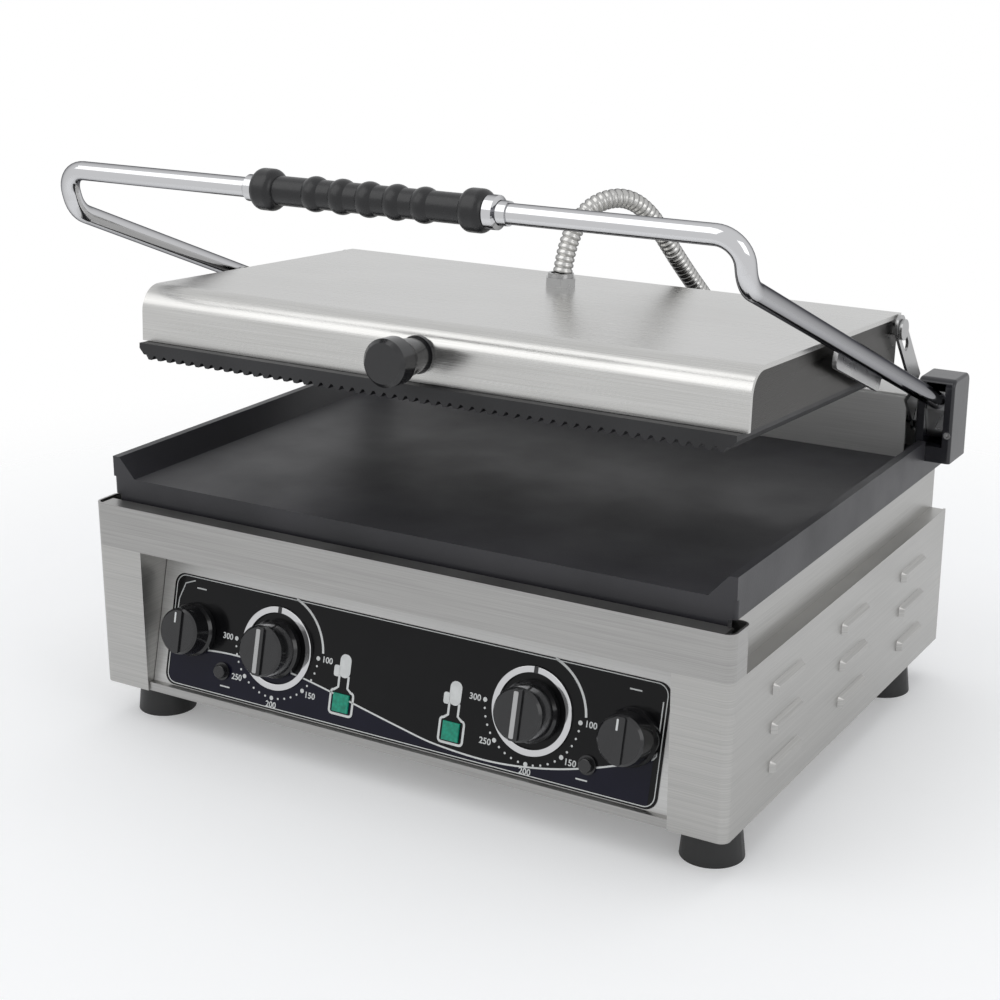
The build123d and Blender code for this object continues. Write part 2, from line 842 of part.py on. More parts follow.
with BuildPart() as lid_cover:
    for start, length, depth in (
        (-cover_half, 2 * cover_half, cover_sheet),
        (-cover_half, cover_sheet, cover_return),
        (cover_half - cover_sheet, cover_sheet, cover_return),
    ):
        with BuildSketch(lid_section(start)):
            with BuildLine():
                FilletPolyline(
                    (cover_setback, plate_height + fit),
                    (cover_setback, cover_top),
                    (lid_end, cover_top),
                    radius=cover_bend,
                )
                offset(amount=depth, side=Side.RIGHT)
            make_face()
        extrude(amount=length)
    with BuildSketch(lid_level.offset(cover_top)):
        with Locations((conduit_hole_x, conduit_hole_u)):
            Circle(conduit_diameter / 2 + 0.6)
    extrude(amount=-2 * cover_sheet, mode=Mode.SUBTRACT)

with BuildPart() as lid_side_right:
    with BuildSketch(lid_section(side_inner)) as lid_side_outline:
        side_bottom = (cover_setback + cover_sheet + 0.1, plate_height)
        side_top = (lid_end, cover_top - cover_sheet - 0.1)
        with Locations(((side_bottom[0] + side_top[0]) / 2, (side_bottom[1] + side_top[1]) / 2)):
            Rectangle(side_top[0] - side_bottom[0], side_top[1] - side_bottom[1])
        fillet(vertices().sort_by(Axis.X)[:2].sort_by(Axis.Y)[-1], cover_bend - cover_sheet)
    extrude(amount=sheet)
    for y, z, radius in (
        (pivot_y, pivot_height, pivot_diameter / 2 + pin_fit),
        (link_pin_y, link_pin_height, link_pin_diameter / 2 + 0.02),
    ):
        with BuildSketch(Plane.YZ.offset(side_inner)):
            with Locations((y, z)):
                Circle(radius)
        extrude(amount=sheet, mode=Mode.SUBTRACT)

with BuildPart() as lid_side_left:
    mirror(lid_side_right.part, about=Plane.YZ)

with BuildPart() as lid_rear_panel:
    with BuildSketch(lid_section(-side_inner)):
        with Locations((lid_end - sheet / 2, (plate_height + side_top[1]) / 2)):
            Rectangle(sheet, side_top[1] - plate_height)
    extrude(amount=2 * side_inner)

with BuildPart() as upper_element:
    upper_rows = 5
    upper_pitch = 47
    upper_points = []
    for row in range(upper_rows):
        ends = (-element_half, element_half) if row % 2 == 0 else (element_half, -element_half)
        for x in ends:
            upper_points.append((x, 31 + row * upper_pitch))
    with BuildLine(lid_level.offset(plate_height + fit + element_diameter / 2)) as upper_element_path:
        FilletPolyline(*upper_points, radius=upper_pitch / 2 - 1)
    with BuildSketch(Plane(upper_element_path.line @ 0, z_dir=upper_element_path.line % 0)):
        Circle(element_diameter / 2)
    sweep()

insulation_base = plate_height + 2 * fit + element_diameter

with BuildPart() as upper_insulation:
    with BuildSketch(lid_level.offset(insulation_base)):
        with Locations((0, plate_depth / 2 + 4)):
            Rectangle(2 * (side_inner - 12), plate_depth - 20)
    extrude(amount=8)

with BuildPart() as front_knob:
    knob_w = 28.6
    knob_end = cover_setback - front_knob_length
    knob_r = front_knob_diameter / 2
    with BuildSketch(lid_section(0)):
        with BuildLine():
            Polyline(
                (knob_end, knob_w),
                (knob_end, knob_w + knob_r - 2.5),
                (knob_end + 2.5, knob_w + knob_r),
                (knob_end + 14, knob_w + knob_r),
                (knob_end + 20, knob_w + knob_r - 2.5),
                (cover_setback - 3, knob_w + knob_r - 4.5),
                (cover_setback - 3, knob_w + knob_r - 3),
                (cover_setback, knob_w + knob_r - 3),
                (cover_setback, knob_w),
                close=True,
            )
        make_face()
    revolve(axis=Axis(lid_section(0).from_local_coords(Vector(0, knob_w, 0)), lid_back))

with BuildPart() as conduit_collar:
    with BuildSketch(lid_level.offset(cover_top)):
        with Locations((conduit_hole_x, conduit_hole_u)):
            RegularPolygon(11.5, 6)
    extrude(amount=collar_height - 3)
    with BuildSketch(lid_level.offset(cover_top + collar_height - 3)):
        with Locations((conduit_hole_x, conduit_hole_u)):
            Circle(9)
    extrude(amount=3)
    with BuildSketch(lid_level.offset(cover_top)):
        with Locations((conduit_hole_x, conduit_hole_u)):
            Circle(conduit_diameter / 2 + conduit_fit)
    extrude(amount=collar_height, mode=Mode.SUBTRACT)

link_outer_inner = cover_half + 1
link_outer = link_outer_inner + link_thickness

with BuildPart() as link_pins:
    for side in (1, -1):
        for start, end, radius in (
            (side_inner - 3, link_outer + 2.4, link_pin_diameter / 2),
            (side_outer, link_outer_inner - fit, link_pin_diameter / 2 + 2),
            (link_outer + fit, link_outer + 2.4, link_slot / 2 + 3),
            (side_inner - 2.5, side_inner, link_pin_diameter / 2 + 1.2),
        ):
            with BuildSketch(Plane.YZ.offset(side * start)):
                with Locations((link_pin_y, link_pin_height)):
                    Circle(radius)
            extrude(amount=side * (end - start))

link_angle = atan2(link_pin_height - shaft_height, shaft_y - link_pin_y) + radians(link_trim)
link_along = (0, -cos(link_angle), sin(link_angle))
link_across = (0, sin(link_angle), cos(link_angle))
eye_radius = 9.5
joggle_start = 30
joggle_end = 42

with BuildPart() as rear_link_right:
    with BuildSketch(Plane(origin=(0, shaft_y, shaft_height), x_dir=link_along, z_dir=link_across)):
        with BuildLine():
            Polyline(
                (-eye_radius, link_inner),
                (joggle_start, link_inner),
                (joggle_end, link_outer_inner),
                (link_reach + link_width, link_outer_inner),
                (link_reach + link_width, link_outer),
                (joggle_end - 1, link_outer),
                (joggle_start - 1, link_inner + link_thickness),
                (-eye_radius, link_inner + link_thickness),
                close=True,
            )
        make_face()
    extrude(amount=eye_radius, both=True)
    link_plane = Plane(origin=(link_inner - 1, shaft_y, shaft_height), x_dir=link_along, z_dir=(1, 0, 0))
    with BuildSketch(link_plane):
        Circle(eye_radius)
        with Locations((link_reach / 2, 0)):
            Rectangle(link_reach, link_width)
        with Locations((link_reach, 0)):
            Circle(link_width / 2)
        Circle(shaft_diameter / 2 + 0.1, mode=Mode.SUBTRACT)
        with Locations(((link_least + link_reach) / 2, 0)):
            SlotCenterToCenter(link_reach - link_least, link_slot, mode=Mode.SUBTRACT)
    extrude(amount=20, mode=Mode.INTERSECT)

with BuildPart() as rear_link_left:
    mirror(rear_link_right.part, about=Plane.YZ)

# Conduit: a ribbed metal hose from inside the lid, over its rear edge, down into the elbow gland
conduit_start = lid_level.from_local_coords(Vector(conduit_hole_x, conduit_hole_u, cover_top - 17))
conduit_rise = lid_level.from_local_coords(Vector(conduit_hole_x, conduit_hole_u, cover_top + 24))
conduit_points = [
    conduit_start,
    conduit_rise,
    Vector(6, body_front + 252, 345),
    Vector(28, body_front + 284, 345),
    Vector(42, body_front + 322, 292),
    Vector(54, body_front + 366, 246),
    Vector(conduit_x, conduit_y, 196),
    Vector(conduit_x, conduit_y, conduit_end),
]
conduit_radii = []
for before, corner, after in zip(conduit_points, conduit_points[1:], conduit_points[2:]):
    turn = radians((corner - before).get_angle(after - corner))
    conduit_radii.append(0.45 * min((corner - before).length, (after - corner).length) / tan(turn / 2))
print("conduit radii", [round(r, 1) for r in conduit_radii])

with BuildPart() as conduit:
    with BuildLine() as conduit_path:
        FilletPolyline(*conduit_points, radius=conduit_radii)
    route = conduit_path.wires()[0]
    length = route.length
    pitch = (length - 2 * conduit_diameter) / conduit_ribs
    crest = conduit_diameter / 2
    valley = crest - conduit_rib_depth
    stretch = 4 * 7
    stations = [(0, crest), (conduit_diameter - 0.4, crest)]
    for rib in range(conduit_ribs):
        start = conduit_diameter + rib * pitch
        for share, radius in ((0, valley), (0.25, crest), (0.6, crest), (0.85, valley)):
            stations.append((start + share * pitch, radius))
    stations += [(length - conduit_diameter + 0.4, crest), (length, crest)]
    for first in range(0, len(stations) - 1, stretch):
        for distance, radius in stations[first : first + stretch + 1]:
            share = distance / length
            with BuildSketch(Plane(route @ share, x_dir=(1, 0, 0), z_dir=route % share)):
                Circle(radius)
        loft(ruled=True)
    with BuildSketch(Plane(route @ 0, z_dir=route % 0)):
        Circle(conduit_bore / 2)
    sweep(mode=Mode.SUBTRACT)
print("conduit length", round(length), "ribs", conduit_ribs, "pitch", round(pitch, 2))

pieces = {
    "base_plate": base_plate,
    "side_panel_left": side_panel_left,
    "side_panel_right": side_panel_right,
    "rear_panel": rear_panel,
    "front_band": front_band,
    "tray_frame": tray_frame,
    "griddle_plate": griddle_plate,
    "lower_element": lower_element,
    "lower_element_clamps": lower_element_clamps,
    "lower_insulation": lower_insulation,
    "splash_guard": splash_guard,
    "hinge_block_left": hinge_block_left,
    "hinge_block_right": hinge_block_right,
    "hinge_block_screws": hinge_block_screws,
    "balance_spring_left": balance_spring_left,
    "balance_spring_right": balance_spring_right,
    "control_fascia": control_fascia,
    "fascia_film": fascia_film,
    "dial_ring_left": dial_ring_left,
    "dial_ring_right": dial_ring_right,
    "thermostat_body_left": thermostat_body_left,
    "thermostat_body_right": thermostat_body_right,
    "switch_body_left": switch_body_left,
    "switch_body_right": switch_body_right,
    "indicator_lamp_left": indicator_lamp_left,
    "indicator_lamp_right": indicator_lamp_right,
    "cutout_body_left": cutout_body_left,
    "cutout_body_right": cutout_body_right,
    "mains_gland": mains_gland,
    "conduit_gland": conduit_gland,
    "conduit": conduit,
    "feet": feet,
    "handle_bar": handle_bar,
    "handle_grip": handle_grip,
    "grip_ferrules": grip_ferrules,
    "arm_knuckle_left": arm_knuckle_left,
    "arm_knuckle_right": arm_knuckle_right,
    "hinge_shaft": hinge_shaft,
    "shaft_nuts": shaft_nuts,
    "lid_hanger_left": lid_hanger_left,
    "lid_hanger_right": lid_hanger_right,
    "lid_pivot_pins": lid_pivot_pins,
    "lid_cover": lid_cover,
    "lid_side_left": lid_side_left,
    "lid_side_right": lid_side_right,
    "lid_rear_panel": lid_rear_panel,
    "upper_plate": upper_plate,
    "upper_element": upper_element,
    "upper_insulation": upper_insulation,
    "front_knob": front_knob,
    "conduit_collar": conduit_collar,
    "link_pins": link_pins,
    "rear_link_left": rear_link_left,
    "rear_link_right": rear_link_right,
    "thermostat_knob_left": thermostat_knob_left,
    "thermostat_knob_right": thermostat_knob_right,
    "switch_knob_left": switch_knob_left,
    "switch_knob_right": switch_knob_right,
    "reset_button_left": reset_button_left,
    "reset_button_right": reset_button_right,
}
os.makedirs("parts", exist_ok=True)
for name, piece in pieces.items():
    piece.part.label = name
    export_step(piece.part, f"parts/{name}.step")
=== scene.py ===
from math import cos, pi, radians, sin

import bmesh
import bpy
from mathutils import Matrix, Vector


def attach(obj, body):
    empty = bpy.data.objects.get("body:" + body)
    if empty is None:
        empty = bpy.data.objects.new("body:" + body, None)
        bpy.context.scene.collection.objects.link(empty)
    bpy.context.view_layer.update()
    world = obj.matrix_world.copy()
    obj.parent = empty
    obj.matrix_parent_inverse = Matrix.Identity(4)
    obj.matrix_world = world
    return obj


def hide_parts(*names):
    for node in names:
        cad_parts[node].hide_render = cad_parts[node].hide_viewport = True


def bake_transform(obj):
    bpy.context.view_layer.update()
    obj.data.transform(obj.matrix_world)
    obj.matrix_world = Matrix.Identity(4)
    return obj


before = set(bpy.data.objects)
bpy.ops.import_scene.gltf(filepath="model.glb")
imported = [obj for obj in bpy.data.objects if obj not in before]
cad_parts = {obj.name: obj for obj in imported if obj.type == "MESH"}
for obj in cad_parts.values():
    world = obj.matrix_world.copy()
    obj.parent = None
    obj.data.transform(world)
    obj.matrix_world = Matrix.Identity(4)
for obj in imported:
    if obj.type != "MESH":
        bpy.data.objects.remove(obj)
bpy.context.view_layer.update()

bl_info = {
    "name": "Contact Grill",
    "version": (1, 0, 0),
    "blender": (4, 5, 0),
    "location": "3D View > Sidebar > Grill",
    "description": "Dresses the contact grill's model with finishes, panel print and studio",
    "category": "Object",
}

MM = 0.001

# The leaning control panel: x across, v up the slope and lift out of it, all in millimetres
PANEL_LEAN = radians(14)
PANEL_FOOT = Vector((0, -178 * MM, 33 * MM))
PANEL_UP = Vector((0, sin(PANEL_LEAN), cos(PANEL_LEAN)))
PANEL_OUT = Vector((0, -cos(PANEL_LEAN), sin(PANEL_LEAN)))

# Where the controls stand on the panel, each pair mirrored about x = 0
THERMOSTAT_X, THERMOSTAT_V = 97, 42
SWITCH_X, SWITCH_V = 166, 41.5
LAMP_X = 42
RING_TOP = 2.06
THERMOSTAT_TOP = 21.8
SWITCH_TOP = 20.8

# Heights of the print over the panel's plate
WAVE_LIFT = 0.42
LINE_LIFT = 0.47
DIAL_LIFT = 0.5
INK = 0.04

NAVY_FOOT = 2.6
NUMBERS = (
    ("100", 0, "LEFT"), ("150", -45, "LEFT"), ("200", -90, "CENTER"), ("250", -135, "RIGHT"), ("300", 180, "RIGHT"),
)


# Finishes


def new_finish(name):
    material = bpy.data.materials.new(name)
    material.use_nodes = True
    tree = material.node_tree
    return material, tree, tree.nodes["Principled BSDF"]


def pattern(tree, kind, scale, **inputs):
    """A texture node on Object coordinates, stretched by scale."""
    place = tree.nodes.new("ShaderNodeTexCoord")
    stretch = tree.nodes.new("ShaderNodeMapping")
    stretch.inputs["Scale"].default_value = scale
    texture = tree.nodes.new(kind)
    for key, value in inputs.items():
        texture.inputs[key].default_value = value
    tree.links.new(place.outputs["Object"], stretch.inputs["Vector"])
    tree.links.new(stretch.outputs["Vector"], texture.inputs["Vector"])
    return texture


def spread(tree, source, low, high):
    """The middle of a noise's range mapped between two numbers."""
    node = tree.nodes.new("ShaderNodeMapRange")
    node.inputs["From Min"].default_value = 0.3
    node.inputs["From Max"].default_value = 0.7
    node.inputs["To Min"].default_value = low
    node.inputs["To Max"].default_value = high
    tree.links.new(source, node.inputs["Value"])
    return node.outputs["Result"]


def tint(tree, source, dark, light):
    """A colour between dark and light, by the source."""
    node = tree.nodes.new("ShaderNodeMix")
    node.data_type = "RGBA"
    node.inputs["A"].default_value = (*dark, 1)
    node.inputs["B"].default_value = (*light, 1)
    tree.links.new(source, node.inputs["Factor"])
    return node.outputs["Result"]


def relief(tree, source, shader, strength, distance):
    """Bump from the source."""
    bump = tree.nodes.new("ShaderNodeBump")
    bump.inputs["Strength"].default_value = strength
    bump.inputs["Distance"].default_value = distance
    tree.links.new(source, bump.inputs["Height"])
    tree.links.new(bump.outputs["Normal"], shader.inputs["Normal"])


def brushed(name, across, dark, light, rough, uneven=0.05):
    """Sheet steel with its grain running square to the axes named in across."""
    material, tree, shader = new_finish(name)
    scale = [1900 if axis in across else 14 for axis in "XYZ"]
    grain = pattern(tree, "ShaderNodeTexNoise", scale, Scale=1.0, Detail=3.0)
    cloud = pattern(tree, "ShaderNodeTexNoise", (1, 1, 1), Scale=9.0, Detail=2.0)
    shader.inputs["Metallic"].default_value = 1.0
    tree.links.new(tint(tree, spread(tree, grain.outputs["Fac"], 0, 1), dark, light), shader.inputs["Base Color"])
    add = tree.nodes.new("ShaderNodeMath")
    add.operation = "ADD"
    tree.links.new(spread(tree, grain.outputs["Fac"], rough - uneven, rough + uneven), add.inputs[0])
    tree.links.new(spread(tree, cloud.outputs["Fac"], -0.02, 0.04), add.inputs[1])
    tree.links.new(add.outputs[0], shader.inputs["Roughness"])
    relief(tree, grain.outputs["Fac"], shader, 0.12, 0.0001)
    return material


def cast(name, dark, light, rough, grit, depth):
    """Cast or seasoned iron: a fine grit with faint patches."""
    material, tree, shader = new_finish(name)
    fine = pattern(tree, "ShaderNodeTexNoise", (1, 1, 1), Scale=grit, Detail=5.0)
    patch = pattern(tree, "ShaderNodeTexNoise", (1, 1, 1), Scale=14.0, Detail=4.0)
    tree.links.new(tint(tree, spread(tree, patch.outputs["Fac"], 0, 1), dark, light), shader.inputs["Base Color"])
    tree.links.new(spread(tree, patch.outputs["Fac"], rough + 0.06, rough - 0.06), shader.inputs["Roughness"])
    relief(tree, fine.outputs["Fac"], shader, 0.35, depth)
    return material


def plated(name, colour, rough, smudge=0.05, edge=(1, 1, 1)):
    """Polished or plated metal; the last colour darkens its grazing reflection, a painted dark reflection along rims
    and edges.
    """
    material, tree, shader = new_finish(name)
    cloud = pattern(tree, "ShaderNodeTexNoise", (1, 1, 1), Scale=60.0, Detail=3.0)
    shader.inputs["Base Color"].default_value = (*colour, 1)
    shader.inputs["Metallic"].default_value = 1.0
    tree.links.new(spread(tree, cloud.outputs["Fac"], rough, rough + smudge), shader.inputs["Roughness"])
    shader.inputs["Specular Tint"].default_value = (*edge, 1)
    return material


def moulded(name, colour, rough, grit, depth, coat=0.0, shine=0.5):
    """Moulded plastic, rubber, film or print."""
    material, tree, shader = new_finish(name)
    fine = pattern(tree, "ShaderNodeTexNoise", (1, 1, 1), Scale=grit, Detail=4.0)
    light = tuple(c * 1.35 + 0.002 for c in colour)
    tree.links.new(tint(tree, fine.outputs["Fac"], colour, light), shader.inputs["Base Color"])
    tree.links.new(spread(tree, fine.outputs["Fac"], rough - 0.04, rough + 0.06), shader.inputs["Roughness"])
    shader.inputs["Coat Weight"].default_value = coat
    shader.inputs["Specular IOR Level"].default_value = shine
    relief(tree, fine.outputs["Fac"], shader, 0.2, depth)
    return material


def lens(name, colour):
    """A lamp's clear, faintly ribbed lens."""
    material, tree, shader = new_finish(name)
    ribs = pattern(tree, "ShaderNodeTexVoronoi", (1, 1, 1), Scale=420.0)
    deep = tuple(c * 0.45 for c in colour)
    tree.links.new(tint(tree, ribs.outputs["Distance"], colour, deep), shader.inputs["Base Color"])
    shader.inputs["Roughness"].default_value = 0.15
    shader.inputs["Emission Color"].default_value = (*colour, 1)
    shader.inputs["Emission Strength"].default_value = 0.15
    return material


FINISHES = {}


def make_finishes():
    FINISHES.update(
        # The housing's one steel gets the tone each face shows: painted shade darkens the front, painted light
        # brightens the sides and, most of all, the lid's top.
        front_steel=brushed("front_steel", "Z", (0.34, 0.335, 0.328), (0.43, 0.425, 0.415), 0.33),
        side_steel=brushed("side_steel", "Z", (0.4, 0.395, 0.385), (0.5, 0.495, 0.48), 0.36),
        lid_steel=brushed("lid_steel", "YZ", (0.56, 0.555, 0.54), (0.66, 0.655, 0.64), 0.26, 0.03),
        # Near-black lid side and rear plates: a painted dark reflection on polished steel.
        dark_steel=brushed("dark_steel", "Z", (0.035, 0.033, 0.03), (0.055, 0.052, 0.048), 0.3),
        # Splash guard and fascia steel lightened against the lid's shadow: painted light.
        guard_steel=brushed("guard_steel", "Z", (0.5, 0.498, 0.49), (0.6, 0.598, 0.59), 0.46),
        griddle_iron=cast("griddle_iron", (0.018, 0.018, 0.021), (0.034, 0.033, 0.038), 0.42, 900, 0.0002),
        rib_iron=cast("rib_iron", (0.008, 0.008, 0.009), (0.02, 0.02, 0.022), 0.5, 700, 0.0003),
        block_enamel=cast("block_enamel", (0.012, 0.012, 0.014), (0.02, 0.02, 0.024), 0.18, 240, 0.0002),
        # Chrome and hose: a dark grazing tint, a painted dark reflection along their rims.
        chrome=plated("chrome", (0.66, 0.66, 0.67), 0.05, 0.04, (0.08, 0.08, 0.09)),
        bright_zinc=plated("bright_zinc", (0.45, 0.45, 0.45), 0.24, 0.1),
        hose_steel=plated("hose_steel", (0.56, 0.555, 0.54), 0.2, 0.08, (0.2, 0.2, 0.21)),
        grip_plastic=moulded("grip_plastic", (0.007, 0.007, 0.008), 0.3, 500, 0.0002),
        knob_plastic=moulded("knob_plastic", (0.008, 0.008, 0.009), 0.2, 300, 0.00005, 0.3),
        foot_rubber=moulded("foot_rubber", (0.014, 0.014, 0.014), 0.5, 600, 0.0002),
        panel_film=moulded("panel_film", (0.0015, 0.0015, 0.002), 0.12, 60, 0.00002, 0, 0.22),
        panel_navy=moulded("panel_navy", (0.0035, 0.0035, 0.013), 0.14, 60, 0.00002, 0, 0.22),
        print_white=moulded("print_white", (0.62, 0.63, 0.62), 0.4, 200, 0.00001),
        mineral_board=moulded("mineral_board", (0.5, 0.48, 0.44), 0.8, 300, 0.0004),
        green_lens=lens("green_lens", (0.0, 0.3, 0.19)),
    )


NODE_FINISHES = {
    # Same steel in three tones: painted shade on the front, painted light on the sides and the lid's top.
    "front_steel": ["front_band", "base_plate"],
    "side_steel": ["side_panel_left", "side_panel_right", "rear_panel", "tray_frame"],
    "lid_steel": ["lid_cover"],
    # Lid side and rear plates: painted dark reflection.
    "dark_steel": ["lid_side_left", "lid_side_right", "lid_rear_panel"],
    # Splash guard and fascia: steel lightened as painted light against the lid's shadow.
    "guard_steel": ["splash_guard", "control_fascia"],
    "griddle_iron": ["griddle_plate"],
    "rib_iron": ["upper_plate"],
    "block_enamel": ["hinge_block_left", "hinge_block_right"],
    "chrome": ["handle_bar", "grip_ferrules", "dial_ring_left", "dial_ring_right"],
    "bright_zinc": [
        "lower_element", "lower_element_clamps", "upper_element", "hinge_block_screws", "balance_spring_left",
        "balance_spring_right", "arm_knuckle_left", "arm_knuckle_right", "hinge_shaft", "shaft_nuts",
        "lid_hanger_left", "lid_hanger_right", "lid_pivot_pins", "link_pins", "rear_link_left",
        "rear_link_right", "conduit_gland", "conduit_collar",
    ],
    "hose_steel": ["conduit"],
    "grip_plastic": ["handle_grip"],
    "knob_plastic": [
        "thermostat_knob_left", "thermostat_knob_right", "switch_knob_left", "switch_knob_right",
        "reset_button_left", "reset_button_right", "thermostat_body_left", "thermostat_body_right",
        "switch_body_left", "switch_body_right", "cutout_body_left", "cutout_body_right", "mains_gland",
        "front_knob",
    ],
    "foot_rubber": ["feet"],
    "panel_film": ["fascia_film"],
    "mineral_board": ["lower_insulation", "upper_insulation"],
    "green_lens": ["indicator_lamp_left", "indicator_lamp_right"],
}


# Shapes


def on_panel(x, v, lift):
    """A point on the control panel, from millimetres."""
    return PANEL_FOOT + Vector((x * MM, 0, 0)) + PANEL_UP * (v * MM) + PANEL_OUT * (lift * MM)


def add_piece(name, mesh, finish, body):
    mesh.materials.clear()
    mesh.materials.append(FINISHES[finish])
    piece = bpy.data.objects.new(name, mesh)
    bpy.context.scene.collection.objects.link(piece)
    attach(piece, body)
    return piece


def flat_shapes(name, outlines, lift, thickness):
    """Printed shapes as thin plates; each outline is a ring of (x, v) going anticlockwise."""
    build = bmesh.new()
    for outline in outlines:
        low = [build.verts.new(on_panel(x, v, lift)) for x, v in outline]
        high = [build.verts.new(on_panel(x, v, lift + thickness)) for x, v in outline]
        build.faces.new(high)
        build.faces.new(low[::-1])
        for i in range(len(low)):
            j = (i + 1) % len(low)
            build.faces.new((low[i], low[j], high[j], high[i]))
    mesh = bpy.data.meshes.new(name)
    bmesh.ops.recalc_face_normals(build, faces=build.faces)
    build.to_mesh(mesh)
    build.free()
    return mesh


def strip(points, width):
    """Quads along a line, as outlines."""
    quads = []
    edges = []
    for i, (x, v) in enumerate(points):
        ax, av = points[max(i - 1, 0)]
        bx, bv = points[min(i + 1, len(points) - 1)]
        run = Vector((bx - ax, bv - av)).normalized() * width / 2
        edges.append(((x + run.y, v - run.x), (x - run.y, v + run.x)))
    for a, b in zip(edges, edges[1:]):
        quads.append([a[0], b[0], b[1], a[1]])
    return quads


def arc(x, v, radius, start, end, steps):
    turn = [radians(start + (end - start) * i / steps) for i in range(steps + 1)]
    return [(x + radius * cos(t), v + radius * sin(t)) for t in turn]


def rounded(x0, x1, v0, v1, radius):
    ring = arc(x1 - radius, v0 + radius, radius, -90, 0, 6)
    ring += arc(x1 - radius, v1 - radius, radius, 0, 90, 6)
    ring += arc(x0 + radius, v1 - radius, radius, 90, 180, 6)
    ring += arc(x0 + radius, v0 + radius, radius, 180, 270, 6)
    return ring


def smooth_line(points, steps=8):
    """A Catmull-Rom line through the points."""
    line = []
    for i in range(len(points) - 1):
        p = [Vector(points[max(min(i + k, len(points) - 1), 0)]) for k in (-1, 0, 1, 2)]
        for s in range(steps):
            t = s / steps
            line.append(
                tuple(
                    0.5
                    * (
                        2 * p[1]
                        + (p[2] - p[0]) * t
                        + (2 * p[0] - 5 * p[1] + 4 * p[2] - p[3]) * t * t
                        + (3 * p[1] - p[0] - 3 * p[2] + p[3]) * t**3
                    )
                )
            )
    line.append(tuple(points[-1]))
    return line


def lamp_sign(x):
    """The line round a lamp: a rounded frame that narrows into a neck."""
    right = [(x + 3.6, 35), (x + 3.6, 27), *arc(x + 6.6, 22.6, 2.2, 90, 0, 3), *arc(x + 6.6, 11.4, 2.2, 0, -90, 3)]
    left = [(2 * x - a, b) for a, b in right[::-1]]
    return right + left


WAVE = [(-184, 25.5), (-168, 27.7), (-133, 30.5), (-88, 28.4), (-60, 24.2), (-25, 17), (5, 11), (32, 6.4), (71, 4.6),
        (107, 8.3), (139, 15.8), (168, 25.6), (181, 31)]


# Settings


class GrillPanelSettings(bpy.types.PropertyGroup):
    line_width: bpy.props.FloatProperty(
        name="Line width",
        description="Width of the wave's printed line",
        default=0.0011,
        min=0.0003,
        max=0.003,
        unit="LENGTH",
    )
    number_height: bpy.props.FloatProperty(
        name="Number height",
        description="Height of the dials' numbers",
        default=0.0042,
        min=0.002,
        max=0.008,
        unit="LENGTH",
    )
    dial_radius: bpy.props.FloatProperty(
        name="Dial radius",
        description="Radius of the row of dots",
        default=0.0335,
        min=0.03,
        max=0.04,
        unit="LENGTH",
    )


class GrillHoseSettings(bpy.types.PropertyGroup):
    diameter: bpy.props.FloatProperty(
        name="Diameter",
        description="Outside diameter of the metal hose",
        default=0.0135,
        min=0.005,
        max=0.03,
        unit="LENGTH",
    )
    rib_depth: bpy.props.FloatProperty(
        name="Rib depth",
        description="How far the hose's ribs stand up",
        default=0.001,
        min=0.0002,
        max=0.003,
        unit="LENGTH",
    )
    ribs: bpy.props.IntProperty(name="Ribs", description="How many ribs the hose has", default=84, min=10, max=200)


class GrillStageSettings(bpy.types.PropertyGroup):
    lens: bpy.props.FloatProperty(
        name="Lens", description="Focal length of the camera", default=69.34, min=20, max=200, unit="CAMERA"
    )
    key_power: bpy.props.FloatProperty(
        name="Key light", description="Power of the key light", default=13, min=0, max=500, unit="POWER"
    )
    fill_power: bpy.props.FloatProperty(
        name="Fill light", description="Power of the fill light", default=5, min=0, max=500, unit="POWER"
    )


# Operators


class GRILL_OT_finishes(bpy.types.Operator):
    """Give every solid its finish"""

    bl_idname = "grill.finishes"
    bl_label = "Finishes"

    def execute(self, context):
        make_finishes()
        for finish, names in NODE_FINISHES.items():
            for name in names:
                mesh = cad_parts[name].data
                if not mesh.materials:
                    mesh.materials.append(FINISHES[finish])
                for index in range(len(mesh.materials)):
                    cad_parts[name].material_slots[index].material = FINISHES[finish]
        return {"FINISHED"}


class GRILL_OT_panel_print(bpy.types.Operator):
    """Print the control panel: its border, wave, dial arcs, lamp signs and dashes"""

    bl_idname = "grill.panel_print"
    bl_label = "Panel print"

    def execute(self, context):
        panel = context.scene.grill_panel
        wave = smooth_line(WAVE)
        below = [[(a[0], NAVY_FOOT), (b[0], NAVY_FOOT), b, a] for a, b in zip(wave, wave[1:])]
        add_piece("panel_wave", flat_shapes("panel_wave", below, WAVE_LIFT, INK), "panel_navy", "root")

        lines = strip(wave, panel.line_width / MM)
        border = rounded(-185, 185, 1.9, 76.4, 7)
        lines += strip(border + border[:1], 0.6)
        lines += strip([(181, 31), (182.6, 33), (182.6, 66)], 0.8)
        lines += strip([(-184, 25.5), (-182, 60), (-178, 71), (-170, 74)], 0.8)
        for side in (-1, 1):
            lines += strip(arc(side * THERMOSTAT_X, THERMOSTAT_V, 37, 72, 6, 20), 1.6)
            lamp = side * LAMP_X
            lines += strip(lamp_sign(lamp), 1.6)
            lines.append(rounded(lamp - 4.2, lamp + 4.4, 33.5, 49, 4))
            lines.append(rounded(lamp - 8.2, lamp - 3.6, 33.5, 41, 1.6))
            for x, v in ((side * 164, 69.5), (side * 136, 8)):
                lines += strip([(x - 4, v), (x + 4, v)], 0.9)
        add_piece("panel_lines", flat_shapes("panel_lines", lines, LINE_LIFT, INK), "print_white", "root")
        return {"FINISHED"}


